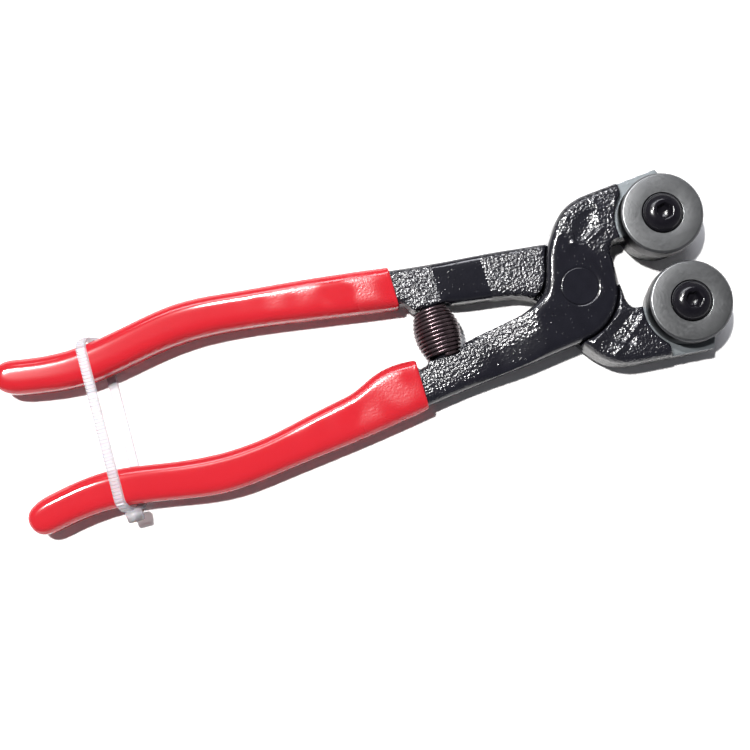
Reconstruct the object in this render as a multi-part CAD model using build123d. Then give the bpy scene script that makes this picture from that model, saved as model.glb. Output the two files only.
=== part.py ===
from build123d import *
import math
import os

# Mosaic glass nippers, closed by a squeeze of the handles, lying flat on their underside.
# +X runs along the tool towards the cutting wheels, +Z is up, all sizes are in millimetres.
# The origin is on the pivot axis, at the underside of the joint.

# ---- driving dimensions -------------------------------------------------
JOINT_THICKNESS = 11.5                   # both levers together, at the pivot
LAP_HEIGHT = JOINT_THICKNESS / 2         # where the two half-lapped bosses meet
LAP_GAP = 0.10                           # running gap between the lapped faces
LAP_CLEARANCE = 0.35                     # room round each boss in the other lever
CLOSING_ANGLE = 5.8                      # degrees of travel until the wheels nearly meet

ARM_BOTTOM = 2.2                         # steel arms are thinner than the joint
ARM_TOP = JOINT_THICKNESS - ARM_BOTTOM
RAMP_START_X = -26.0                     # the arm thickens from here ...
RAMP_END_X = -13.0                       # ... to here
ARM_EDGE_RADIUS = 2.0
JOINT_EDGE_RADIUS = 2.0
JAW_EDGE_LENGTH = 20.0                   # the jaw's straight back is longer than this
HANDLE_EDGE_LENGTH = 60.0                # edges along a handle are longer than this
STRAIGHT_END_X = -4.0                    # the other face of each arm stays thin up to its lap

WHEEL_DIAMETER = 22.2                    # 7/8 inch cutting wheel
WHEEL_THICKNESS = 6.0
WHEEL_BEVEL = 0.6
WHEEL_X = 26.6
WHEEL_Y = 12.5
SEAT_HEIGHT = 8.5                        # milled face the wheel sits on
SEAT_RADIUS = 12.2                       # milled recess round the wheel
SEAT_GAP = 0.03                          # running gaps above and below the wheel
SEAT_STEP_X = 18.4                       # the milled face runs out to the jaw's edge from here
JAW_PAD_RADIUS = 10.0                    # jaw metal under the wheel

SCREW_RADIUS = 3.0                       # M6 button head screw
SCREW_LENGTH = 12.0
SCREW_HEAD_RADIUS = 5.45
SCREW_HEAD_HEIGHT = 3.3
SCREW_FLAT_RADIUS = 2.9
SCREW_DOME_RADIUS = 4.6
SCREW_RIM_HEIGHT = 0.5
HEX_ACROSS_FLATS = 4.0
HEX_DEPTH = 2.1
SCREW_TIP_CHAMFER = 0.5
RUNNING_GAP = 0.05                       # radial, wheel on screw and lever on rivet
COUNTERBORE_RADIUS = 5.6
COUNTERBORE_DEPTH = 1.0

RIVET_RADIUS = 4.0
RIVET_HEAD_RADIUS = 5.1
RIVET_HEAD_DEPTH = 1.4
RIVET_HEAD_LAND = 0.3                    # straight rim of each countersunk head

GRIP_COAT = 0.95                         # dipped vinyl over the steel
GRIP_BOTTOM = ARM_BOTTOM - GRIP_COAT
GRIP_TOP = ARM_TOP + GRIP_COAT
GRIP_EDGE_RADIUS = 2.2
GRIP_MOUTH_X = -48.0
HANDLE_TIP_X = -158.8

SPRING_X = -40.0
SPRING_FOOT_Y = -8.0                     # seat on the top lever's arm
SPRING_HEAD_Y = 6.5                      # seat on the bottom lever's arm
SPRING_WIRE = 1.0
SPRING_TURNS = 12
SPRING_POINTS_PER_TURN = 10
SPRING_END_RADIUS = 3.9                  # to the wire's centre
SPRING_MIDDLE_RADIUS = 5.9
PEG_RADIUS = 2.7
PEG_LENGTH = 3.0
SPRING_SEAT_HALF_WIDTH = 4.7
SPRING_SEAT_DEPTH = 2.6
SPRING_ROOM_DEPTH = 3.6                  # flared pocket that lets the coil reach its seat

TIE_X = -131.6
TIE_LEAN = -0.38                         # the loop leans back as it rises
TIE_WIDTH = 2.4
TIE_THICKNESS = 0.9
TIE_FLOOR_GAP = 0.03
TIE_SLACK = 0.3                          # between the loop and the moving grip
TIE_HALF_SPAN = 23.5                     # the loop's inside, from the tool axis to each end
TIE_HEAD = (4.6, 3.6, 4.6)

# Handle stations: x, centre line's distance from the tool axis, width over the vinyl.
HANDLE_STATIONS = [
    (-151.0, 18.8, 9.8),
    (-136.0, 17.35, 10.2),
    (-121.0, 19.4, 10.3),
    (-106.0, 21.35, 10.6),
    (-91.0, 20.35, 10.4),
    (-71.0, 17.75, 11.2),
    (-49.0, 14.5, 11.7),
]
# The lower grip swells towards the spring at its mouth.
LOWER_GRIP_FLARE = [
    (-81.0, -13.15), (-71.0, -11.25), (-66.5, -10.25), (-63.0, -8.7), (-59.0, -7.05), (-53.5, -6.15),
]
# Rounded end of a handle: distance ahead of the tip, distance from the tool axis.
TIP_POINTS = [(2.2, 15.7), (0.25, 17.6), (0.15, 21.2), (1.9, 23.6)]

# Outline of a lever's steel between its grip and its jaw, for the lever whose arm is at -Y.
ARM_INNER = [
    (-30.0, -4.95), (-25.0, -4.25), (-20.0, -3.5), (-16.5, -2.7), (-13.0, -1.2), (-10.2, 0.6), (-8.3, 3.4),
]
JAW_BACK = [(-6.6, 8.4), (-5.3, 12.2), (-3.0, 16.0), (-0.3, 19.6), (2.5, 22.0), (5.5, 23.35), (8.6, 24.05)]
ARM_OUTER = [(-30.0, -17.2), (-20.0, -16.3), (-10.0, -15.1)]
BOSS_FRONT = [(1.4, -13.2), (5.4, -10.8), (8.4, -7.2), (10.2, -2.6), (10.9, 2.0)]
BOSS_HEEL = (-2.0, -14.2)
THROAT_START = (11.1, 6.6)
THROAT_SLOPE = 0.06                      # sideways per unit of rise where the throat starts
THROAT_END = (13.6, 9.8)
THROAT_MOUTH = (17.3, 10.1)
JAW_CORNER = (30.3, 26.0)
JAW_CHAMFER_END = (32.5, 20.3)

# Shallow oval recess in each jaw's face.
RECESS_CENTRE = (6.0, 15.0)
RECESS_SIZE = (9.5, 5.0)
RECESS_TURN = 50.0
RECESS_DEPTH = 0.6


def write(node, shape):
    """Write one sub-part, named after its node."""
    export_step(shape, os.path.join("parts", node + ".step"))


def slab(face, low, high):
    """A flat face on the XY plane, extruded between two heights."""
    return Pos(0, 0, low) * extrude(face, high - low, dir=(0, 0, 1))


def mirrored(points, side):
    """Points of the lever whose arm is at -Y, flipped across the tool axis when side is -1."""
    return [(x, y * side) for x, y in points]


# ---- levers ---------------------------------------------------------------
def handle_points(inset):
    """One handle's outline: outer edge, rounded tip and inner edge, inset from the vinyl."""
    outer = [(x, -(centre + width / 2 - inset)) for x, centre, width in HANDLE_STATIONS]
    inner = [(x, -(centre - width / 2 + inset)) for x, centre, width in HANDLE_STATIONS]
    middle = sum(y for _, y in TIP_POINTS) / len(TIP_POINTS)
    tip = []
    for ahead, y in TIP_POINTS:
        moved = y + math.copysign(inset * 0.7, middle - y)
        tip.append((HANDLE_TIP_X + ahead + inset, -moved))
    return outer, tip, inner


def pushed_left(points, amount):
    """Points moved sideways, to the left of the way that they run."""
    moved = []
    for index, (x, y) in enumerate(points):
        before = points[max(index - 1, 0)]
        after = points[min(index + 1, len(points) - 1)]
        run = math.dist(before, after)
        step = amount / run
        moved.append((x - (after[1] - before[1]) * step, y + (after[0] - before[0]) * step))
    return moved


def lever_outline(side, grow=0.0):
    """Plan of a whole lever, its steel handle included, with its long edges grown outwards."""
    outer, tip, inner = handle_points(GRIP_COAT)
    back = ARM_OUTER[::-1] + outer[::-1] + tip[::-1] + inner + ARM_INNER + JAW_BACK
    loop = BOSS_FRONT[::-1] + [BOSS_HEEL] + back
    loop = pushed_left([THROAT_START] + loop, grow)
    heel = len(BOSS_FRONT) + 1
    front_edge = Spline(*mirrored(loop[:heel + 1], side))
    back_edge = Spline(*mirrored(loop[heel:], side))
    rest = [loop[-1], JAW_CORNER, JAW_CHAMFER_END, (WHEEL_X, WHEEL_Y), THROAT_MOUTH, THROAT_END]
    rest_edges = Polyline(*mirrored(rest, side))
    start, end = mirrored([loop[0], THROAT_END], side)
    throat = TangentArc(start, end, tangent=(THROAT_SLOPE, side))
    face = make_face(Wire([back_edge, *rest_edges.edges(), throat, front_edge]))
    return face + Pos(WHEEL_X, WHEEL_Y * side) * Circle(JAW_PAD_RADIUS)


def thinning_cutters(side):
    """Wedges that thin the arm: one ends in a ramp, the one on the lapped face runs straight on."""
    far_x = HANDLE_TIP_X - 10
    reach = 100.0
    cutters = []
    for face_side, level, ramp_top, outside in (
        (1, ARM_TOP, JOINT_THICKNESS, JOINT_THICKNESS + 9.0),
        (-1, ARM_BOTTOM, 0.0, -9.0),
    ):
        if face_side == side:
            shoulder = [(RAMP_START_X, level), (RAMP_END_X, ramp_top), (RAMP_END_X, outside)]
        else:
            shoulder = [(STRAIGHT_END_X, level), (STRAIGHT_END_X, outside)]
        profile = Polyline((far_x, level), *shoulder, (far_x, outside), close=True)
        face = make_face(Plane.XZ * profile)
        cutters.append(extrude(face, reach / 2, both=True))
    return cutters


def seat_cutter(side):
    """Material milled away above the wheel's seat."""
    disc = Pos(WHEEL_X, WHEEL_Y * side) * Circle(SEAT_RADIUS)
    length = 2 * SEAT_RADIUS
    run_out = Pos(SEAT_STEP_X + length / 2, side * (WHEEL_Y + length / 2)) * Rectangle(length, length)
    return slab(disc + run_out, SEAT_HEIGHT, JOINT_THICKNESS + 1)


def spring_seat(seat_y):
    """Cast pad for the spring's end, with the peg that holds the coil."""
    toward = math.copysign(1.0, -seat_y)
    root_y = seat_y - toward * SPRING_SEAT_DEPTH
    half = SPRING_SEAT_HALF_WIDTH
    plan = Polyline(
        (SPRING_X - half, seat_y), (SPRING_X + half, seat_y),
        (SPRING_X + half + 1.2, root_y), (SPRING_X - half - 1.8, root_y), close=True,
    )
    pad = slab(make_face(plan), ARM_BOTTOM, ARM_TOP)
    peg_middle = seat_y + toward * (PEG_LENGTH / 2 - 0.5)
    peg = Pos(SPRING_X, peg_middle, LAP_HEIGHT) * Rot(90, 0, 0) * Cylinder(PEG_RADIUS, PEG_LENGTH + 1)
    return pad + peg


def spring_room(seat_y):
    """Space cleared in front of a seat, so that the spring's end coil lies flat on it."""
    toward = math.copysign(1.0, -seat_y)
    narrow = SPRING_END_RADIUS + 1.3 * SPRING_WIRE
    wide = SPRING_MIDDLE_RADIUS + SPRING_WIRE
    room = Rot(-90 * toward, 0, 0) * Cone(narrow, wide, SPRING_ROOM_DEPTH)
    return Pos(SPRING_X, seat_y + toward * SPRING_ROOM_DEPTH / 2, LAP_HEIGHT) * room


def face_recess(side):
    """Shallow oval recess in the jaw's top face."""
    plan = Rot(0, 0, RECESS_TURN * side) * Ellipse(RECESS_SIZE[0] / 2, RECESS_SIZE[1] / 2)
    plan = Pos(RECESS_CENTRE[0], RECESS_CENTRE[1] * side) * plan
    return slab(plan, JOINT_THICKNESS - RECESS_DEPTH, JOINT_THICKNESS + 1)


def soften_joint(lever):
    """Round the joint's curved outline and the jaw's straight back, above and below."""
    for level in (0.0, JOINT_THICKNESS):
        rim = lever.edges().filter_by_position(Axis.Z, level - 0.01, level + 0.01)
        backs = [edge for edge in rim if edge.length > JAW_EDGE_LENGTH and edge.center().X > 0]
        curves = [edge for edge in rim if edge.geom_type == GeomType.BSPLINE]
        straight = [edge for edge in backs if edge.geom_type == GeomType.LINE]
        lever = fillet(curves + straight, JOINT_EDGE_RADIUS)
    return lever


def soften_arm(lever):
    """Round the long edges of the thinned arm."""
    flat = lever.edges().filter_by_position(Axis.Z, ARM_BOTTOM - 0.01, ARM_BOTTOM + 0.01)
    flat += lever.edges().filter_by_position(Axis.Z, ARM_TOP - 0.01, ARM_TOP + 0.01)
    long_edges = [edge for edge in flat if edge.length > HANDLE_EDGE_LENGTH]
    return fillet(long_edges, ARM_EDGE_RADIUS)


def make_lever(side, seat_y):
    """Side 1 is the top lever, with its arm at -Y; side -1 the bottom lever, arm at +Y."""
    lever = slab(lever_outline(side), 0, JOINT_THICKNESS)
    for cutter in thinning_cutters(side):
        lever = lever - cutter
    lever = soften_joint(soften_arm(lever))
    lever = lever - spring_room(seat_y) + spring_seat(seat_y)
    other = lever_outline(-side, LAP_CLEARANCE)
    if side > 0:
        low, high = -1, LAP_HEIGHT + LAP_GAP / 2
    else:
        low, high = LAP_HEIGHT - LAP_GAP / 2, JOINT_THICKNESS + 1
    for turn in (0, CLOSING_ANGLE * side):
        lever = lever - slab(Rot(0, 0, turn) * other, low, high)
    lever = lever - seat_cutter(side) - face_recess(side)
    screw_hole = Pos(WHEEL_X, WHEEL_Y * side, JOINT_THICKNESS / 2)
    lever = lever - screw_hole * Cylinder(SCREW_RADIUS, 2 * JOINT_THICKNESS)
    return lever - rivet_shape(RUNNING_GAP if side < 0 else 0.0)


def rivet_shape(gap):
    """Flush rivet with a countersunk head at each face, grown by a running gap."""
    overrun = gap * 2
    head = RIVET_HEAD_RADIUS + gap
    shank = RIVET_RADIUS + gap
    profile = Polyline(
        (0, -overrun), (head, -overrun), (head, RIVET_HEAD_LAND), (shank, RIVET_HEAD_DEPTH),
        (shank, JOINT_THICKNESS - RIVET_HEAD_DEPTH), (head, JOINT_THICKNESS - RIVET_HEAD_LAND),
        (head, JOINT_THICKNESS + overrun), (0, JOINT_THICKNESS + overrun), close=True,
    )
    return revolve(make_face(Plane.XZ * profile), Axis.Z)


# ---- grips ----------------------------------------------------------------
def make_grip(side, lever, flare):
    """Dipped vinyl sleeve over one handle, open at its mouth."""
    outer, tip, inner = handle_points(0.0)
    mouth_x = GRIP_MOUTH_X
    outer_end = (mouth_x, outer[-1][1] + 0.15)
    if flare:
        inner = inner[:-2] + flare
    inner_end = (mouth_x, inner[-1][1] + (-0.3 if flare else 0.15))
    points = [outer_end] + outer[::-1] + tip[::-1] + inner + [inner_end]
    edge = Spline(*mirrored(points, side))
    mouth = Line(*mirrored([inner_end, outer_end], side))
    sleeve = slab(make_face(Wire([edge, mouth])), GRIP_BOTTOM, GRIP_TOP)
    long_edges = [edge for edge in sleeve.edges() if edge.length > HANDLE_EDGE_LENGTH]
    sleeve = fillet(long_edges, GRIP_EDGE_RADIUS)
    return sleeve - lever


# ---- wheels and screws ----------------------------------------------------
def make_wheel(side):
    """Cutting wheel: a bevelled disc with a bore and a shallow counterbore."""
    base = SEAT_HEIGHT + SEAT_GAP
    top = base + WHEEL_THICKNESS
    rim = WHEEL_DIAMETER / 2
    bore = SCREW_RADIUS + RUNNING_GAP
    profile = Polyline(
        (bore, base), (rim - WHEEL_BEVEL, base), (rim, base + WHEEL_BEVEL),
        (rim, top - WHEEL_BEVEL), (rim - WHEEL_BEVEL, top), (COUNTERBORE_RADIUS, top),
        (COUNTERBORE_RADIUS, top - COUNTERBORE_DEPTH), (bore, top - COUNTERBORE_DEPTH), close=True,
    )
    wheel = revolve(make_face(Plane.XZ * profile), Axis.Z)
    return Pos(WHEEL_X, WHEEL_Y * side) * wheel


def make_screw(side):
    """Button head socket screw, threaded into the jaw."""
    under_head = SEAT_HEIGHT + 2 * SEAT_GAP + WHEEL_THICKNESS - COUNTERBORE_DEPTH
    rim_top = under_head + SCREW_RIM_HEIGHT
    top = under_head + SCREW_HEAD_HEIGHT
    tip = under_head - SCREW_LENGTH
    outline = [
        Line((0, tip), (SCREW_RADIUS - SCREW_TIP_CHAMFER, tip)),
        Line((SCREW_RADIUS - SCREW_TIP_CHAMFER, tip), (SCREW_RADIUS, tip + SCREW_TIP_CHAMFER)),
        Line((SCREW_RADIUS, tip + SCREW_TIP_CHAMFER), (SCREW_RADIUS, under_head)),
        Line((SCREW_RADIUS, under_head), (SCREW_HEAD_RADIUS, under_head)),
        Line((SCREW_HEAD_RADIUS, under_head), (SCREW_HEAD_RADIUS, rim_top)),
        RadiusArc((SCREW_HEAD_RADIUS, rim_top), (SCREW_FLAT_RADIUS, top), SCREW_DOME_RADIUS),
        Line((SCREW_FLAT_RADIUS, top), (0, top)),
        Line((0, top), (0, tip)),
    ]
    screw = revolve(make_face(Plane.XZ * Wire(outline)), Axis.Z)
    hexagon = RegularPolygon(HEX_ACROSS_FLATS / 2, 6, major_radius=False)
    screw = screw - slab(hexagon, top - HEX_DEPTH, top + 1)
    return Pos(WHEEL_X, WHEEL_Y * side) * screw


# ---- return spring --------------------------------------------------------
def coil_radius(fraction):
    """Barrel shape: small at both ends, widest half way."""
    swell = math.sin(math.pi * fraction) ** 0.8
    return SPRING_END_RADIUS + (SPRING_MIDDLE_RADIUS - SPRING_END_RADIUS) * swell


def make_spring():
    """Barrel compression spring between the arms: one wire wound round an axis along Y."""
    wire_radius = SPRING_WIRE / 2
    rise = SPRING_HEAD_Y - SPRING_FOOT_Y - SPRING_WIRE
    steps = SPRING_TURNS * SPRING_POINTS_PER_TURN
    route = []
    for step in range(steps + 1):
        fraction = step / steps
        angle = 2 * math.pi * SPRING_TURNS * fraction
        radius = coil_radius(fraction)
        route.append((radius * math.cos(angle), radius * math.sin(angle), rise * fraction))
    path = Spline(*route)
    section = Plane(origin=path @ 0, z_dir=path % 0) * Circle(wire_radius)
    coil = sweep(section, path=path, is_frenet=True)
    return Pos(SPRING_X, SPRING_FOOT_Y + wire_radius, LAP_HEIGHT) * Rot(-90, 0, 0) * coil


# ---- cable tie --------------------------------------------------------------
def make_tie():
    """Nylon strap looped round both grips, with its locking head on the outer side."""
    low = TIE_FLOOR_GAP + TIE_THICKNESS
    high = GRIP_TOP + TIE_SLACK
    middle = (low + high) / 2
    hole = RectangleRounded(2 * TIE_HALF_SPAN, high - low, GRIP_EDGE_RADIUS)
    strap = RectangleRounded(
        2 * (TIE_HALF_SPAN + TIE_THICKNESS), high - low + 2 * TIE_THICKNESS,
        GRIP_EDGE_RADIUS + TIE_THICKNESS,
    )
    plane = Plane(origin=(0, 0, 0), x_dir=(0, 1, 0), z_dir=(1, 0, 0))
    loop = extrude(plane * (strap - hole), TIE_WIDTH / 2, both=True)
    lean = Matrix([[1, 0, TIE_LEAN, 0], [0, 1, 0, 0], [0, 0, 1, 0], [0, 0, 0, 1]])
    loop = loop.transform_geometry(lean)
    head_x, head_y, head_z = TIE_HEAD
    head = Pos(0, -(TIE_HALF_SPAN + TIE_THICKNESS + head_y / 2 - 0.4), 0) * Box(head_x, head_y, head_z)
    return Pos(TIE_X, 0, middle) * (loop + head)


os.makedirs("parts", exist_ok=True)
top_lever = make_lever(1, SPRING_FOOT_Y)
bottom_lever = make_lever(-1, SPRING_HEAD_Y)
write("top_lever", top_lever)
write("bottom_lever", bottom_lever)
write("pivot_rivet", rivet_shape(0.0))
write("lower_grip", make_grip(1, top_lever, LOWER_GRIP_FLARE))
write("upper_grip", make_grip(-1, bottom_lever, None))
write("upper_wheel", make_wheel(1))
write("lower_wheel", make_wheel(-1))
write("upper_wheel_screw", make_screw(1))
write("lower_wheel_screw", make_screw(-1))
write("return_spring", make_spring())
write("cable_tie", make_tie())
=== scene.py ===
import math

import bmesh
import bpy
import numpy as np
from mathutils import Matrix, Vector, noise


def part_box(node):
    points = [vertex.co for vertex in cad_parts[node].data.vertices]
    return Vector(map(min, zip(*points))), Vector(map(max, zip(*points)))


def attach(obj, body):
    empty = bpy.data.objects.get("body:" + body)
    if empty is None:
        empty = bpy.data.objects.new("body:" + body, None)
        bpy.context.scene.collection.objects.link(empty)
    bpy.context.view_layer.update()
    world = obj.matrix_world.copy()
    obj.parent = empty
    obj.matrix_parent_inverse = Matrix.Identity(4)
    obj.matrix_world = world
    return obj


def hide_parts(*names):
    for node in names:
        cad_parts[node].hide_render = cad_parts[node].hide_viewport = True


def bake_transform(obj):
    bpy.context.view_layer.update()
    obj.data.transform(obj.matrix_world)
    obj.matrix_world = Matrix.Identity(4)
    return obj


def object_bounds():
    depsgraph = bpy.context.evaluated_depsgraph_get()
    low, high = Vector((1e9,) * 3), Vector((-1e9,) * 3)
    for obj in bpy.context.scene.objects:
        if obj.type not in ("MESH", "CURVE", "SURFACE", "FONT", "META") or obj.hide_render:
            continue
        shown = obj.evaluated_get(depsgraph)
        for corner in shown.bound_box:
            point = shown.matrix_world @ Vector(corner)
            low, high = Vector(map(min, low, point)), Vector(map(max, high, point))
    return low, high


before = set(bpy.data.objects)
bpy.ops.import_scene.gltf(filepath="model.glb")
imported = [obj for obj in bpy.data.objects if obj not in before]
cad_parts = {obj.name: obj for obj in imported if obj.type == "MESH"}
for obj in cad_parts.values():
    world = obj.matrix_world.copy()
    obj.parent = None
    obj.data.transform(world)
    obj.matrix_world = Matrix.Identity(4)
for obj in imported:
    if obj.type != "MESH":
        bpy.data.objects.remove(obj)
cad_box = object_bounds()

MM = 0.001
TOP_BODY = "top_lever_body"
BOTTOM_BODY = "bottom_lever_body"


# ---- places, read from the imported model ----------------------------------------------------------
def middle(node):
    low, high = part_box(node)
    return (low + high) / 2


WHEEL_PLACE = {side: middle(side + "_wheel") for side in ("upper", "lower")}
WHEEL_RADIUS = (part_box("upper_wheel")[1].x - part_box("upper_wheel")[0].x) / 2
SEAT_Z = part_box("upper_wheel")[0].z
JOINT_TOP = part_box("pivot_rivet")[1].z
LAP_Z = JOINT_TOP / 2
GRIP_MOUTH_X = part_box("upper_grip")[1].x


# ---- small mesh tools ----------------------------------------------------------------------------
def new_piece(name, mesh, smooth=True):
    piece = bpy.data.objects.new(name, mesh)
    bpy.context.scene.collection.objects.link(piece)
    if smooth:
        mesh.polygons.foreach_set("use_smooth", [True] * len(mesh.polygons))
    return piece


def mesh_from(name, points, faces):
    mesh = bpy.data.meshes.new(name)
    mesh.from_pydata([tuple(p) for p in points], [], faces)
    mesh.validate()
    mesh.update()
    return mesh


def grid_faces(rows, columns, closed_rows=False):
    """Quads that join rings of points, ring by ring, and the last to the first if closed_rows."""
    faces = []
    for row in range(rows if closed_rows else rows - 1):
        for column in range(columns):
            right = (column + 1) % columns
            above = (row + 1) % rows
            faces.append((row * columns + column, row * columns + right,
                          above * columns + right, above * columns + column))
    return faces


def end_caps(rows, columns):
    """One face over the first row of a tube of points and one over its last."""
    last = (rows - 1) * columns
    return [tuple(reversed(range(columns))), tuple(range(last, last + columns))]


def turned_point(place, reach, height, angle):
    return place[0] + reach * math.cos(angle), place[1] + reach * math.sin(angle), height


def lathe(name, profile, place, segments, radius_at=None):
    """Profile points (radius, height) turned round a vertical axis through place.

    A closed profile, whose last point is also its first, needs no end faces.
    """
    points = []
    for radius, height in profile:
        for step in range(segments):
            angle = 2 * math.pi * step / segments
            reach = radius_at(radius, height, angle) if radius_at else radius
            points.append(turned_point(place, reach, height, angle))
    faces = grid_faces(len(profile), segments)
    if profile[0] != profile[-1]:
        faces += end_caps(len(profile), segments)
    return mesh_from(name, points, faces)


LONGEST_ROUND = 0.45                      # most of a side that a rounded corner may take up


def rounded(profile, radius):
    """The profile with every corner but its two ends replaced by a short curve."""
    steps = 4
    out = [profile[0]]
    for before, corner, after in zip(profile, profile[1:], profile[2:]):
        a, b, c = Vector(before), Vector(corner), Vector(after)
        reach = min(radius, (a - b).length * LONGEST_ROUND, (c - b).length * LONGEST_ROUND)
        start = b + (a - b).normalized() * reach
        end = b + (c - b).normalized() * reach
        for step in range(steps + 1):
            t = step / steps
            point = start * (1 - t) ** 2 + b * 2 * t * (1 - t) + end * t ** 2
            out.append((point.x, point.y))
    out.append(profile[-1])
    return out


def read_points(mesh):
    co = np.empty(len(mesh.vertices) * 3)
    mesh.vertices.foreach_get("co", co)
    return co.reshape(-1, 3)


def read_normals(mesh):
    normals = np.empty(len(mesh.vertices) * 3)
    mesh.vertices.foreach_get("normal", normals)
    return normals.reshape(-1, 3)


def write_points(mesh, co):
    mesh.vertices.foreach_set("co", co.ravel())
    mesh.update()


def write_mask(mesh, name, values):
    layer = mesh.attributes.new(name, "FLOAT", "POINT")
    layer.data.foreach_set("value", np.clip(values, 0, 1))


def ease(values, low, high):
    """Smooth step from 0 at low to 1 at high."""
    t = np.clip((values - low) / (high - low), 0, 1)
    return t * t * (3 - 2 * t)


def relax(mesh, free, rounds):
    """Evens out a mesh, moving each point towards its neighbours by its share in free."""
    strength = 0.5
    edges = np.empty(len(mesh.edges) * 2, np.int64)
    mesh.edges.foreach_get("vertices", edges)
    one, two = edges.reshape(-1, 2).T
    count = len(mesh.vertices)
    links = np.bincount(one, minlength=count) + np.bincount(two, minlength=count)
    co = read_points(mesh)
    for _ in range(rounds):
        total = np.stack([
            np.bincount(one, co[two, axis], count) + np.bincount(two, co[one, axis], count)
            for axis in range(3)
        ], axis=1)
        co += (total / links[:, None] - co) * (strength * free)[:, None]
    write_points(mesh, co)
    return co


def noise_at(co, scale, seed):
    """Smooth noise between about -1 and 1, its features about 1 / scale across."""
    shift = Vector((seed * 7.1, seed * 3.3, seed * 1.7))
    return np.array([noise.noise(Vector(p) * scale + shift) for p in co])


def rebuilt(node, name, voxel):
    """A CAD node's shape as a new closed mesh with an even, fine grid of faces."""
    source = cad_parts[node].data
    work = bmesh.new()
    work.from_mesh(source)
    bmesh.ops.remove_doubles(work, verts=work.verts, dist=0.001 * MM)
    mesh = bpy.data.meshes.new(name + "_rough")
    work.to_mesh(mesh)
    work.free()
    rough = new_piece(name + "_rough", mesh, smooth=False)
    remesh = rough.modifiers.new("rebuild", "REMESH")
    remesh.mode = "VOXEL"
    remesh.voxel_size = voxel
    graph = bpy.context.evaluated_depsgraph_get()
    even = bpy.data.meshes.new_from_object(rough.evaluated_get(graph))
    even.name = name
    bpy.data.objects.remove(rough)
    even.materials.clear()
    return new_piece(name, even)


# ---- materials -----------------------------------------------------------------------------------
def shader(name, color, rough, metallic=0.0, **more):
    material = bpy.data.materials.new(name)
    material.use_nodes = True
    bsdf = material.node_tree.nodes["Principled BSDF"]
    bsdf.inputs["Base Color"].default_value = (*color, 1)
    bsdf.inputs["Roughness"].default_value = rough
    bsdf.inputs["Metallic"].default_value = metallic
    for socket, value in more.items():
        bsdf.inputs[socket.replace("_", " ")].default_value = value
    return material, material.node_tree, bsdf


def add(tree, kind, **settings):
    node = tree.nodes.new("ShaderNode" + kind)
    for key, value in settings.items():
        if key in node.inputs:
            node.inputs[key].default_value = value
        else:
            setattr(node, key, value)
    return node


def place_noise(tree, scale, detail=2.0, stretch=None):
    """Noise fixed to the object, its features about 1 / scale metres across."""
    coords = add(tree, "TexCoord")
    texture = add(tree, "TexNoise", Scale=scale, Detail=detail)
    source = coords.outputs["Object"]
    if stretch:
        mapping = add(tree, "Mapping")
        mapping.inputs["Scale"].default_value = stretch
        tree.links.new(source, mapping.inputs["Vector"])
        source = mapping.outputs["Vector"]
    tree.links.new(source, texture.inputs["Vector"])
    return texture.outputs["Fac"]


def span(tree, source, low, high):
    """Maps 0..1 onto low..high."""
    node = add(tree, "MapRange")
    node.inputs["To Min"].default_value = low
    node.inputs["To Max"].default_value = high
    tree.links.new(source, node.inputs["Value"])
    return node.outputs["Result"]


def contrast(tree, source, low, high):
    """Smooth step from 0 where source is low to 1 where it is high."""
    node = add(tree, "MapRange", interpolation_type="SMOOTHSTEP")
    node.inputs["From Min"].default_value = low
    node.inputs["From Max"].default_value = high
    tree.links.new(source, node.inputs["Value"])
    return node.outputs["Result"]


# A mix node has sockets for every data type. These are its factor, and its two values and result as
# colours.
MIX_FACTOR = 0
MIX_ONE = 6
MIX_TWO = 7
MIX_RESULT = 2


def mix_color(tree, factor, one, two):
    """Blends two colours by factor. Each is three numbers or another node's output."""
    node = add(tree, "Mix", data_type="RGBA")
    tree.links.new(factor, node.inputs[MIX_FACTOR])
    for socket, color in ((node.inputs[MIX_ONE], one), (node.inputs[MIX_TWO], two)):
        if isinstance(color, tuple):
            socket.default_value = (*color, 1)
        else:
            tree.links.new(color, socket)
    return node.outputs[MIX_RESULT]


def combined(tree, operation, one, two):
    """A math node over two values, each a number or another node's output."""
    node = add(tree, "Math", operation=operation)
    for socket, value in zip(node.inputs, (one, two)):
        if isinstance(value, float):
            socket.default_value = value
        else:
            tree.links.new(value, socket)
    return node.outputs["Value"]


def times(tree, one, two):
    return combined(tree, "MULTIPLY", one, two)


def bump(tree, bsdf, height, distance):
    node = add(tree, "Bump", Strength=1.0, Distance=distance)
    tree.links.new(height, node.inputs["Height"])
    tree.links.new(node.outputs["Normal"], bsdf.inputs["Normal"])


def attribute(tree, name):
    node = add(tree, "Attribute", attribute_name=name)
    return node.outputs["Fac"]


ENAMEL_BLACK = (0.012, 0.012, 0.016)
ENAMEL_SHADES = ((0.006, 0.006, 0.009), (0.012, 0.012, 0.017))
BARE_STEEL_SHADES = ((0.17, 0.19, 0.20), (0.27, 0.295, 0.31))


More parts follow.
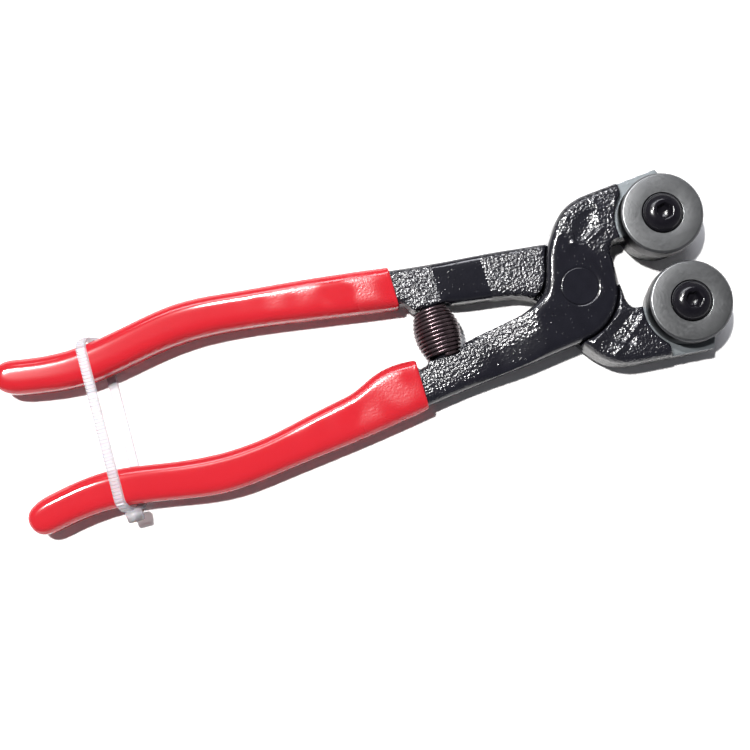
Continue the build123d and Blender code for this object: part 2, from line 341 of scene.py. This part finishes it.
def enamel_material():
    """Black stoving enamel over a cast skin, with milled steel showing where the bare mask is 1."""
    material, tree, bsdf = shader("black_enamel", ENAMEL_BLACK, 0.22)
    bare = attribute(tree, "bare")
    grain = attribute(tree, "grain")
    dark = mix_color(tree, place_noise(tree, 260.0), *ENAMEL_SHADES)
    milling = place_noise(tree, 1500.0, stretch=(0.1, 1, 1))
    steel = mix_color(tree, milling, *BARE_STEEL_SHADES)
    tree.links.new(mix_color(tree, bare, dark, steel), bsdf.inputs["Base Color"])
    tree.links.new(times(tree, bare, 0.7), bsdf.inputs["Metallic"])
    enamel_rough = span(tree, grain, 0.13, 0.27)
    rough = add(tree, "Mix", data_type="FLOAT", B=0.42)
    tree.links.new(bare, rough.inputs["Factor"])
    tree.links.new(enamel_rough, rough.inputs["A"])
    tree.links.new(rough.outputs["Result"], bsdf.inputs["Roughness"])
    tree.links.new(span(tree, grain, 0.5, 0.9), bsdf.inputs["Specular IOR Level"])
    cast_skin = place_noise(tree, 1300.0, detail=1.0)
    pebble = contrast(tree, cast_skin, 0.3, 0.75)
    specks = contrast(tree, cast_skin, 0.66, 0.78)
    relief = combined(tree, "ADD", times(tree, pebble, grain), times(tree, specks, 0.18))
    bump(tree, bsdf, relief, 0.18 * MM)
    return material


def rivet_material():
    material, tree, bsdf = shader("rivet_enamel", ENAMEL_BLACK, 0.2)
    color = mix_color(tree, place_noise(tree, 300.0), *ENAMEL_SHADES)
    tree.links.new(color, bsdf.inputs["Base Color"])
    tree.links.new(span(tree, place_noise(tree, 700.0), 0.11, 0.16), bsdf.inputs["Roughness"])
    bump(tree, bsdf, place_noise(tree, 700.0), 0.003 * MM)
    return material


def vinyl_material():
    """Thick red vinyl from a dip: glossy, and rougher where the peel mask is 1."""
    material, tree, bsdf = shader(
        "red_vinyl", (0.46, 0.015, 0.022), 0.1, Subsurface_Weight=0.08, Subsurface_Scale=2 * MM,
    )
    bsdf.inputs["Subsurface Radius"].default_value = (1.0, 0.2, 0.1)
    color = mix_color(tree, place_noise(tree, 60.0), (0.43, 0.014, 0.021), (0.50, 0.018, 0.027))
    tree.links.new(color, bsdf.inputs["Base Color"])
    rough_skin = attribute(tree, "peel")
    tree.links.new(span(tree, rough_skin, 0.1, 0.32), bsdf.inputs["Roughness"])
    peel = span(tree, rough_skin, 0.025, 1.0)
    bump(tree, bsdf, times(tree, place_noise(tree, 1800.0, detail=1.0), peel), 0.06 * MM)
    return material


def wheel_material(name, place):
    """Ground metal, with fine rings from the grinding and painted shade on the sides, which are coloured
    near black.
    """
    material, tree, bsdf = shader(name, (0.30, 0.31, 0.32), 0.38, 1.0)
    coords = add(tree, "TexCoord")
    shift = add(tree, "Mapping")
    shift.inputs["Location"].default_value = (-place.x, -place.y, 0)
    tree.links.new(coords.outputs["Object"], shift.inputs["Vector"])
    rings = add(tree, "TexWave", wave_type="RINGS", rings_direction="Z", Scale=900.0, Distortion=1.5)
    rings.inputs["Detail"].default_value = 2.0
    tree.links.new(shift.outputs["Vector"], rings.inputs["Vector"])
    cloud = place_noise(tree, 240.0, detail=4.0)
    face = mix_color(tree, cloud, (0.16, 0.164, 0.167), (0.23, 0.235, 0.238))
    geometry = add(tree, "NewGeometry")
    split = add(tree, "SeparateXYZ")
    tree.links.new(geometry.outputs["True Normal"], split.inputs["Vector"])
    # Painted shade: where the surface faces sideways, the wheel's colour is near black, standing in for
    # the shade on its sides.
    faces_up_else_painted_shade = contrast(tree, split.outputs["Z"], 0.25, 0.6)
    color = mix_color(tree, faces_up_else_painted_shade, (0.012, 0.012, 0.015), face)
    tree.links.new(color, bsdf.inputs["Base Color"])
    tree.links.new(span(tree, place_noise(tree, 1400.0), 0.28, 0.42), bsdf.inputs["Roughness"])
    bump(tree, bsdf, rings.outputs["Fac"], 0.008 * MM)
    return material


def black_oxide_material():
    material, tree, bsdf = shader("black_oxide", (0.006, 0.006, 0.008), 0.18, Specular_IOR_Level=0.35)
    color = mix_color(tree, place_noise(tree, 800.0), (0.003, 0.003, 0.005), (0.009, 0.008, 0.011))
    tree.links.new(color, bsdf.inputs["Base Color"])
    tree.links.new(span(tree, place_noise(tree, 1300.0), 0.14, 0.24), bsdf.inputs["Roughness"])
    bump(tree, bsdf, place_noise(tree, 2200.0), 0.01 * MM)
    return material


def spring_material():
    """Oil-tempered spring wire, brown-black."""
    material, tree, bsdf = shader("tempered_wire", (0.10, 0.07, 0.075), 0.25, 0.85)
    color = mix_color(tree, place_noise(tree, 500.0), (0.07, 0.048, 0.054), (0.14, 0.10, 0.108))
    tree.links.new(color, bsdf.inputs["Base Color"])
    tree.links.new(span(tree, place_noise(tree, 900.0), 0.2, 0.3), bsdf.inputs["Roughness"])
    bump(tree, bsdf, place_noise(tree, 1600.0), 0.01 * MM)
    return material


def nylon_material():
    """Natural nylon: white, a little see-through."""
    material, tree, bsdf = shader(
        "natural_nylon", (0.40, 0.39, 0.42), 0.3,
        Subsurface_Weight=0.3, Subsurface_Scale=1 * MM, Alpha=0.62,
    )
    color = mix_color(tree, place_noise(tree, 150.0), (0.37, 0.36, 0.39), (0.43, 0.42, 0.45))
    tree.links.new(color, bsdf.inputs["Base Color"])
    tree.links.new(span(tree, place_noise(tree, 500.0), 0.25, 0.4), bsdf.inputs["Roughness"])
    bump(tree, bsdf, place_noise(tree, 900.0), 0.01 * MM)
    return material


def floor_material():
    material, tree, bsdf = shader("paper_floor", (0.9, 0.9, 0.9), 0.9)
    color = mix_color(tree, place_noise(tree, 3.0), (0.89, 0.89, 0.89), (0.91, 0.91, 0.91))
    tree.links.new(color, bsdf.inputs["Base Color"])
    return material


# ---- castings ------------------------------------------------------------------------------------
CAST_VOXEL = 0.34 * MM
PEBBLE_HEIGHT = 0.045 * MM
EDGE_ROUNDS = 4                           # of relaxing, which softens the casting's edges
RAMP_ROUNDS = 30                          # and blends the arm's ramp into its flats
JAW_START_X = 13 * MM
PAINT_END_X = (17.6 * MM, 19.6 * MM)      # where the paint gives way to the bare seat
BARE_RING = (12.6 * MM, 11.9 * MM)        # and where it does round the wheel
BLANK_PATCH_X = (-37.0 * MM, -22.6 * MM)  # the smooth patch on the upper arm
ARM_EDGE_Y = 14.4 * MM                    # an arm's outer edge, drawn on to the pivot's x
ARM_EDGE_SLOPE = 0.114
FAINTEST_GRAIN = 0.04


def milled_mask(co, side):
    """1 where a jaw's milled wheel seat is bare, 0 on the painted casting."""
    place = WHEEL_PLACE[side]
    out = np.hypot(co[:, 0] - place.x, co[:, 1] - place.y)
    level = (np.abs(co[:, 2] - SEAT_Z) < 0.35 * MM) & (co[:, 0] > JAW_START_X)
    near = ease(co[:, 0] + 0.25 * MM * noise_at(co, 500.0, 3), *PAINT_END_X)
    inner = ease(-out, -BARE_RING[0], -BARE_RING[1])
    return np.where(level, np.maximum(near, inner), 0.0)


def grain_mask(co, side):
    """How rough the cast skin is, from 0 to 1.

    It is strong on the arms, faint on the rubbed boss and fades towards the arms' outer edges.
    """
    from_pivot = np.hypot(co[:, 0], co[:, 1])
    jaw = ease(co[:, 0] + np.abs(co[:, 1]), 12 * MM, 17 * MM)
    past_edge = np.abs(co[:, 1]) - (ARM_EDGE_Y - ARM_EDGE_SLOPE * co[:, 0])
    if side == "lower":
        arm = ease(-co[:, 0], 5 * MM, 8 * MM) * ease(from_pivot, 8 * MM, 11 * MM)
        start, end = BLANK_PATCH_X
        fade = 0.8 * MM
        patch = ease(co[:, 0], start, start + fade) * ease(-co[:, 0], -end, fade - end)
        arm *= 1 - patch * (co[:, 1] > 0)
    else:
        arm = ease(-co[:, 0], 10 * MM, 20 * MM) * ease(from_pivot, 11 * MM, 16 * MM)
        arm *= 1 - 0.6 * ease(past_edge, -7 * MM, -2.5 * MM)
        worn = ease(past_edge, -9.5 * MM, -6 * MM) * ease(co[:, 0], -36 * MM, -26 * MM)
        arm *= 1 - 0.85 * worn
    rim = 1 - 0.9 * ease(-co[:, 0], 8 * MM, 15 * MM) * ease(past_edge, -2.0 * MM, -1.0 * MM)
    cast = np.maximum(arm, 0.55 * jaw * (co[:, 0] > -6 * MM))
    return np.maximum(FAINTEST_GRAIN, cast) * rim


# Ridges and dents left by the forging on each jaw's top face. Each runs from one x, y to another, and
# then come its half width and height. All are in millimetres.
LUMPS = {
    "upper": [
        (10.3, 13.2, 6.2, 11.7, 0.6, 0.36),
        (10.3, 21.3, 11.5, 18.7, 0.5, 0.3),
        (2.0, 19.1, 2.4, 19.3, 0.5, 0.3),
        (16.1, 19.7, 15.8, 17.9, 0.5, 0.3),
        (8.8, 17.6, 9.0, 15.6, 0.6, 0.3),
        (1.8, 11.9, 4.4, 10.9, 0.7, 0.32),
        (4.6, 13.2, 7.2, 15.8, 1.5, -0.34),
    ],
    "lower": [
        (-1.9, -16.5, 8.1, -10.2, 0.8, 0.38),
        (5.5, -19.4, 13.8, -12.6, 0.6, 0.4),
        (3.0, -20.8, 6.5, -18.6, 0.6, 0.22),
        (2.6, -17.2, 10.4, -11.4, 0.9, -0.25),
    ],
}


def lumps(co, side):
    """Height of the soft ridges and dents on one jaw's top face."""
    total = np.zeros(len(co))
    for x1, y1, x2, y2, half_width, height in LUMPS[side]:
        start = np.array((x1, y1)) * MM
        run = np.array((x2, y2)) * MM - start
        along = np.clip(((co[:, :2] - start) @ run) / (run @ run), 0, 1)
        off = np.hypot(*(co[:, :2] - start - along[:, None] * run).T)
        total += height * MM * np.exp(-(off / (half_width * MM)) ** 2)
    return total * ease(co[:, 2], JOINT_TOP - 1.2 * MM, JOINT_TOP - 0.3 * MM)


def casting(node, name, side, body, material):
    """One lever: cast skin with soft edges and pebbling, and a crisp milled seat."""
    piece = rebuilt(node, name, CAST_VOXEL)
    mesh = piece.data
    co = read_points(mesh)
    bare = milled_mask(co, side)
    level = (np.abs(co[:, 2] - SEAT_Z) < 0.2 * MM) & (bare > 0.02)
    lap = np.abs(co[:, 2] - LAP_Z) < 0.3 * MM
    free = np.where(level | lap, 0.0, 1.0)
    relax(mesh, free, EDGE_ROUNDS)
    ramp = ease(co[:, 0], -34 * MM, -29 * MM) * ease(-co[:, 0], 7 * MM, 11 * MM)
    flat = ease(np.abs(read_normals(mesh)[:, 2]), 0.85, 0.97)
    co = relax(mesh, free * ramp * flat, RAMP_ROUNDS)
    grain = grain_mask(co, side) * (1 - bare)
    shown = ease(co[:, 0], GRIP_MOUTH_X - 2 * MM, GRIP_MOUTH_X - 0.5 * MM)
    rough = 0.6 * noise_at(co, 900.0, 1) + 0.4 * noise_at(co, 1700.0, 2)
    outward = PEBBLE_HEIGHT * rough * grain * shown * free
    co += read_normals(mesh) * outward[:, None]
    co[:, 2] += lumps(co, side) * (1 - bare)
    write_points(mesh, co)
    write_mask(mesh, "bare", bare)
    write_mask(mesh, "grain", grain)
    mesh.materials.append(material)
    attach(piece, body)
    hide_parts(node)


# ---- grips ---------------------------------------------------------------------------------------
VINYL_VOXEL = 0.4 * MM
VINYL_ROUNDS = 20                         # of relaxing, which softens the sleeve's edges
CROWN_FALL = 0.55 * MM
CROWN_STEP = 3 * MM                       # the length over which a sleeve's width is read
VINYL_WAVE = 0.03 * MM


def peel_mask(co):
    """Where the dipped vinyl is rough: in patches towards the mouth, as the dip drained."""
    near_mouth = ease(co[:, 0], GRIP_MOUTH_X - 48 * MM, GRIP_MOUTH_X - 8 * MM)
    return near_mouth * ease(noise_at(co, 130.0, 8), -0.35, 0.45)


def crown(co, normals):
    """How far the sleeve's broad faces fall away towards their edges."""
    start = co[:, 0].min()
    stretch = ((co[:, 0] - start) / CROWN_STEP).astype(int)
    centres, halves, spots = [], [], []
    for index in range(stretch.max() + 1):
        y = co[stretch == index, 1]
        centres.append((y.min() + y.max()) / 2)
        halves.append((y.max() - y.min()) / 2)
        spots.append(start + (index + 0.5) * CROWN_STEP)
    centre = np.interp(co[:, 0], spots, centres)
    off = np.abs(co[:, 1] - centre) / np.interp(co[:, 0], spots, halves)
    level = (co[:, 2].min() + co[:, 2].max()) / 2
    up = ease(normals[:, 2], 0.1, 0.5) * (co[:, 2] > level)
    down = ease(-normals[:, 2], 0.1, 0.5) * (co[:, 2] < level)
    return CROWN_FALL * np.clip(off, 0, 1) ** 4 * (up - down)


def grip(node, name, body, material):
    """One vinyl sleeve: soft edges, crowned faces and a slight wave, with a crisp mouth."""
    piece = rebuilt(node, name, VINYL_VOXEL)
    mesh = piece.data
    co = read_points(mesh)
    mouth = ease(co[:, 0], GRIP_MOUTH_X - 1.2 * MM, GRIP_MOUTH_X - 0.3 * MM)
    co = relax(mesh, 1 - 0.7 * mouth, VINYL_ROUNDS)
    normals = read_normals(mesh)
    co[:, 2] -= crown(co, normals) * (1 - 0.6 * mouth)
    wave = noise_at(co, 70.0, 5)
    co += normals * (VINYL_WAVE * (wave - 1) * (1 - mouth))[:, None]
    write_points(mesh, co)
    write_mask(mesh, "peel", peel_mask(co))
    mesh.materials.append(material)
    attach(piece, body)
    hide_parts(node)


# ---- wheels, screws, rivet -----------------------------------------------------------------------
def wheel(side):
    """A bevelled disc with its bore and the recess that the screw's head sits in."""
    node = side + "_wheel"
    low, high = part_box(node)
    rim = WHEEL_RADIUS
    bore = 3.05 * MM
    recess = 5.6 * MM
    recess_floor = high.z - 1.0 * MM
    bevel = 0.55 * MM
    edge_round = 0.12 * MM
    outline = [
        (bore, low.z), (rim - bevel, low.z), (rim, low.z + bevel), (rim, high.z - bevel),
        (rim - bevel, high.z - edge_round), (recess, high.z), (recess, recess_floor),
        (bore, recess_floor), (bore, low.z),
    ]
    mesh = lathe(side + "_wheel_disc", rounded(outline, edge_round), middle(node), 160)
    piece = new_piece(side + "_wheel_disc", mesh)
    mesh.materials.append(wheel_material(side + "_wheel_steel", middle(node)))
    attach(piece, side + "_wheel_body")
    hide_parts(node)


def hex_reach(angle, across):
    """Distance from the centre to a hexagon's side, in the direction angle."""
    sector = (angle + math.pi / 6) % (math.pi / 3) - math.pi / 6
    return across / 2 / math.cos(sector)


def screw(side, body, material, turn):
    """Button head socket screw, as rings of points from the shank's end up and into the socket."""
    node = side + "_wheel_screw"
    low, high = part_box(node)
    place = middle(node)
    head = (high.x - low.x) / 2
    shank = 3.0 * MM
    under = high.z - 3.3 * MM
    head_edge = 0.15 * MM
    rim_top = under + 0.5 * MM
    flat = 2.9 * MM
    across_flats = 4.0 * MM
    socket_floor = high.z - 2.1 * MM
    pitch = 1.0 * MM
    thread_depth = 0.32 * MM
    thread_turns = 10
    steps_per_turn = 8
    dome_angle = 1.25
    dome_steps = 14
    segments = 96
    points = []

    def ring(reach, height):
        """A row of points at one height, reach being a radius or a radius for each angle."""
        for step in range(segments):
            angle = 2 * math.pi * step / segments
            points.append(turned_point(place, reach(angle) if callable(reach) else reach, height, angle))

    def thread(height):
        def reach(angle):
            phase = (height / pitch - angle / (2 * math.pi)) % 1
            return shank - thread_depth * abs(phase * 2 - 1) - 0.02 * MM
        return reach

    def socket(angle):
        return hex_reach(angle + turn, across_flats)

    ring(0.02 * MM, low.z)
    ring(shank - 0.8 * MM, low.z)
    for step in range(thread_turns * steps_per_turn):
        height = low.z + 0.3 * MM + step * pitch / steps_per_turn
        ring(thread(height), height)
    ring(shank - 0.05 * MM, under - 0.05 * MM)
    ring(head - head_edge, under)
    ring(head, under + head_edge)
    ring(head, rim_top)
    for step in range(1, dome_steps + 1):
        angle = dome_angle * step / dome_steps
        inward = (1 - math.cos(angle)) / (1 - math.cos(dome_angle))
        upward = math.sin(angle) / math.sin(dome_angle)
        ring(head - (head - flat) * inward, rim_top + (high.z - rim_top) * upward)
    ring(flat - 0.2 * MM, high.z)
    ring(lambda angle: socket(angle) + 0.22 * MM, high.z - 0.01 * MM)
    ring(socket, high.z - 0.2 * MM)
    ring(socket, socket_floor)
    ring(lambda angle: socket(angle) * 0.5, socket_floor - 0.35 * MM)
    ring(0.05 * MM, socket_floor - 0.6 * MM)
    rows = len(points) // segments
    faces = grid_faces(rows, segments) + end_caps(rows, segments)
    mesh = mesh_from(side + "_socket_screw", points, faces)
    piece = new_piece(side + "_socket_screw", mesh)
    mesh.materials.append(material)
    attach(piece, body)
    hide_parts(node)


def rivet(material):
    """Flush rivet whose head leaves a thin uneven groove in the enamel."""
    low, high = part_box("pivot_rivet")
    head = (high.x - low.x) / 2
    shank = 4.0 * MM
    neck = 1.4 * MM
    lower_head = [(head - 0.2 * MM, low.z + 0.02 * MM), (head - 0.1 * MM, low.z + 0.3 * MM)]
    middle_length = [(shank, low.z + neck), (shank, high.z - neck)]
    upper_head = [
        (head - 0.1 * MM, high.z - 0.4 * MM), (head - 0.02 * MM, high.z - 0.12 * MM),
        (head - 0.16 * MM, high.z + 0.03 * MM), (head - 0.4 * MM, high.z + 0.01 * MM),
        (head * 0.6, high.z - 0.01 * MM), (0.05 * MM, high.z - 0.01 * MM),
    ]

    def uneven(radius, height, angle):
        spot = Vector((math.cos(angle), math.sin(angle), height * 300)) * 4
        return radius * (1 + 0.012 * noise.noise(spot) * (radius > 2 * MM))

    outline = lower_head + middle_length + upper_head
    mesh = lathe("pivot_rivet_flush", outline, (0, 0), 128, uneven)
    piece = new_piece("pivot_rivet_flush", mesh)
    mesh.materials.append(material)
    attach(piece, TOP_BODY)
    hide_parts("pivot_rivet")


# ---- return spring -------------------------------------------------------------------------------
def swept(name, path, radius):
    """Round wire along a path that winds round the Y direction, with closed ends."""
    sides = 12
    winding_axis = Vector((0, 1, 0))
    count = len(path)
    points = []
    for index, point in enumerate(path):
        ahead = path[min(index + 1, count - 1)] - path[max(index - 1, 0)]
        ahead.normalize()
        across = ahead.cross(winding_axis).normalized()
        over = across.cross(ahead)
        for side in range(sides):
            angle = 2 * math.pi * side / sides
            points.append(point + (across * math.cos(angle) + over * math.sin(angle)) * radius)
    faces = grid_faces(count, sides)
    faces.append(tuple(range(sides)))
    faces.append(tuple(reversed(range((count - 1) * sides, count * sides))))
    return mesh_from(name, points, faces)


def return_spring(material):
    """Barrel spring of one wire, its two end coils lying nearly flat on their seats."""
    low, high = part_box("return_spring")
    centre = middle("return_spring")
    wire = 0.5 * MM
    turns = 12.5
    end_turns = 0.75
    end_share = 0.06                      # of the spring's length, taken up by each end coil
    end_radius = 3.9 * MM
    swell = (high.x - low.x) / 2 - wire - end_radius
    length = high.y - low.y - 2 * wire
    steps_per_turn = 56
    steps = int(turns * steps_per_turn)
    path = []
    for step in range(steps + 1):
        turn = turns * step / steps
        first = min(turn / end_turns, 1)
        last = max((turn - turns + end_turns) / end_turns, 0)
        between = min(max((turn - end_turns) / (turns - 2 * end_turns), 0), 1)
        share = end_share * (first + last) + (1 - 2 * end_share) * between
        radius = end_radius + swell * math.sin(math.pi * turn / turns) ** 0.8
        angle = 2 * math.pi * turn
        path.append(Vector((
            centre.x + radius * math.sin(angle), low.y + wire + length * share,
            centre.z + radius * math.cos(angle),
        )))
    piece = new_piece("return_spring_coil", swept("return_spring_coil", path, wire))
    piece.data.materials.append(material)
    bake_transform(piece)
    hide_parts("return_spring")


# ---- cable tie -----------------------------------------------------------------------------------
def tie_loop_path(half_span, low_z, high_z, corner, spacing):
    """Evenly spaced points on a rounded oblong in the Y-Z plane, each with the direction ahead."""
    centres = [
        (half_span - corner, high_z - corner), (corner - half_span, high_z - corner),
        (corner - half_span, low_z + corner), (half_span - corner, low_z + corner),
    ]
    corner_steps = 12
    dense = []
    for quarter, (y, z) in enumerate(centres):
        for step in range(corner_steps + 1):
            angle = math.radians(90 * (quarter + step / corner_steps))
            dense.append(Vector((y + corner * math.cos(angle), z + corner * math.sin(angle))))
    dense.append(dense[0])
    route = []
    travelled = 0.0
    for one, two in zip(dense, dense[1:]):
        length = (two - one).length
        while travelled < length:
            route.append((one.lerp(two, travelled / length), (two - one).normalized()))
            travelled += spacing
        travelled -= length
    return route


def cable_tie(material):
    """A ribbed strap round both grips, leaning back as it rises, and its locking head."""
    low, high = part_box("cable_tie")
    thickness = 0.9 * MM
    half_width = 1.2 * MM
    centre_x = -131.6 * MM
    lean = -0.38
    middle_z = (low.z + high.z) / 2
    inset = thickness / 2
    corner = 3.4 * MM
    rib_pitch = 0.95 * MM
    rib_depth = 0.16 * MM
    points_per_rib = 4
    spacing = rib_pitch / points_per_rib
    route = tie_loop_path(high.y - inset, low.z + inset, high.z - inset, corner, spacing)
    # The strap's section: how far across, in half widths, and how far out, in thicknesses.
    section = [(-1, -0.5), (-1, 0.3), (-0.72, 0.5), (0.72, 0.5), (1, 0.3), (1, -0.5)]
    points = []
    for index, (spot, ahead) in enumerate(route):
        out = Vector((ahead.y, -ahead.x))
        between_ribs = index % points_per_rib < points_per_rib // 2
        for across, proud in section:
            lift = proud * thickness
            if proud == 0.5 and between_ribs:
                lift -= rib_depth
            y = spot.x + out.x * lift
            z = spot.y + out.y * lift
            points.append((centre_x + across * half_width + (z - middle_z) * lean, y, z))
    mesh = mesh_from("cable_tie_strap", points, grid_faces(len(route), len(section), closed_rows=True))
    strap = new_piece("cable_tie_strap", mesh, smooth=False)
    strap.visible_shadow = False
    mesh.materials.append(material)
    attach(strap, TOP_BODY)
    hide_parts("cable_tie")
    head = tie_head(centre_x, low.y, middle_z)
    head.data.materials.append(material)
    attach(head, TOP_BODY)


def tie_head(centre_x, outer_y, centre_z):
    """Locking head: a small rounded block that narrows outwards, with the strap's slot in its end."""
    size = Vector((4.5, 3.5, 4.5)) * MM
    slot_wall = 0.9 * MM
    slot_depth = 0.9 * MM
    mesh = bpy.data.meshes.new("cable_tie_head")
    work = bmesh.new()
    bmesh.ops.create_cube(work, size=1.0)
    for vert in work.verts:
        taper = 0.82 if vert.co.y < 0 else 1.0
        vert.co = Vector((vert.co.x * size.x * taper, vert.co.y * size.y, vert.co.z * size.z * taper))
        vert.co += Vector((centre_x, outer_y + size.y / 2 + 0.05 * MM, centre_z))
    outer = min(work.faces, key=lambda face: face.calc_center_median().y)
    bmesh.ops.inset_region(work, faces=[outer], thickness=slot_wall, depth=0)
    for vert in outer.verts:
        vert.co.y += slot_depth
    bmesh.ops.bevel(work, geom=list(work.edges), offset=0.35 * MM, segments=3, affect="EDGES")
    work.to_mesh(mesh)
    work.free()
    return new_piece("cable_tie_head", mesh)


# ---- camera, light, floor ------------------------------------------------------------------------
LIT_SPOT = Vector((-0.05, 0.0, 0.0))
LAMP_DISTANCE = 1.2
LAMP_SIZE = (0.06, 0.06)
WINDOW_DISTANCE = 1.0


def camera():
    """Close, nearly overhead view, with the tool running up to the right of the picture."""
    data = bpy.data.cameras.new("camera")
    data.sensor_width = 36.0
    data.lens = 52.5
    data.clip_start = 0.01
    data.clip_end = 20.0
    view = bpy.data.objects.new("camera", data)
    bpy.context.scene.collection.objects.link(view)
    eye = Vector((-0.06753, -0.0452, 0.30038))
    aim = Vector((-0.05933, -0.00635, 0.0))
    up_heading = math.radians(73.88)
    ahead = (aim - eye).normalized()
    up = Vector((math.cos(up_heading), math.sin(up_heading), 0))
    right = ahead.cross(up).normalized()
    up = right.cross(ahead)
    turn = Matrix((right, up, -ahead)).transposed()
    view.matrix_world = Matrix.Translation(eye) @ turn.to_4x4()
    bpy.context.scene.camera = view


def area_light(name, toward, distance, size, power, color):
    """A lamp in the direction toward from the tool, facing it."""
    place = LIT_SPOT + Vector(toward).normalized() * distance
    data = bpy.data.lights.new(name, "AREA")
    data.shape = "ELLIPSE"
    data.size, data.size_y = size
    data.energy = power
    data.color = color
    light = bpy.data.objects.new(name, data)
    bpy.context.scene.collection.objects.link(light)
    light.location = place
    light.rotation_euler = (LIT_SPOT - place).to_track_quat("-Z", "Y").to_euler()
    return light


def lamps():
    """A key light that gives the shadows, two small lamps for the shine, and a long soft window."""
    key = area_light("key", (-0.195, 0.205, 1.0), LAMP_DISTANCE, LAMP_SIZE, 20.5, (1.0, 0.985, 0.97))
    key.visible_glossy = False
    glints = [("side_glint", (-0.42, 0.36, 1.0), 20.5), ("high_glint", (-0.1, 0.45, 1.0), 13.0)]
    for name, toward, power in glints:
        glint = area_light(name, toward, LAMP_DISTANCE, LAMP_SIZE, power, (1.0, 0.99, 0.98))
        glint.visible_diffuse = False
    area_light("window", (0.08, 0.66, 0.75), WINDOW_DISTANCE, (0.8, 0.2), 5.0, (0.93, 0.94, 1.0))


def surroundings():
    """A dim room, brighter near the horizon than overhead."""
    scene = bpy.context.scene
    scene.view_settings.view_transform = "Standard"
    world = bpy.data.worlds.new("room")
    scene.world = world
    world.use_nodes = True
    tree = world.node_tree
    sky = tree.nodes["Background"]
    sky.inputs["Color"].default_value = (0.93, 0.93, 1.0, 1)
    coords = add(tree, "TexCoord")
    split = add(tree, "SeparateXYZ")
    tree.links.new(coords.outputs["Generated"], split.inputs["Vector"])
    height = add(tree, "MapRange", interpolation_type="SMOOTHSTEP")
    height.inputs["From Min"].default_value = 0.25
    height.inputs["From Max"].default_value = 0.95
    height.inputs["To Min"].default_value = 0.3
    height.inputs["To Max"].default_value = 0.04
    tree.links.new(split.outputs["Z"], height.inputs["Value"])
    tree.links.new(height.outputs["Result"], sky.inputs["Strength"])


def floor():
    """A wide white sheet just under the tool."""
    half = 3.0
    gap = 0.05 * MM
    corners = [(-half, -half, 0), (half, -half, 0), (half, half, 0), (-half, half, 0)]
    mesh = mesh_from("table_top", corners, [(0, 1, 2, 3)])
    piece = new_piece("table_top", mesh, smooth=False)
    piece.location.z = min(cad_box[0][2], 0.0) - gap
    mesh.materials.append(floor_material())


camera()
lamps()
surroundings()
floor()
enamel = enamel_material()
vinyl = vinyl_material()
oxide = black_oxide_material()
casting("top_lever", "top_lever_casting", "upper", TOP_BODY, enamel)
casting("bottom_lever", "bottom_lever_casting", "lower", BOTTOM_BODY, enamel)
grip("upper_grip", "upper_grip_sleeve", BOTTOM_BODY, vinyl)
grip("lower_grip", "lower_grip_sleeve", TOP_BODY, vinyl)
wheel("upper")
wheel("lower")
screw("upper", TOP_BODY, oxide, 0.3)
screw("lower", BOTTOM_BODY, oxide, 0.75)
rivet(rivet_material())
return_spring(spring_material())
cable_tie(nylon_material())
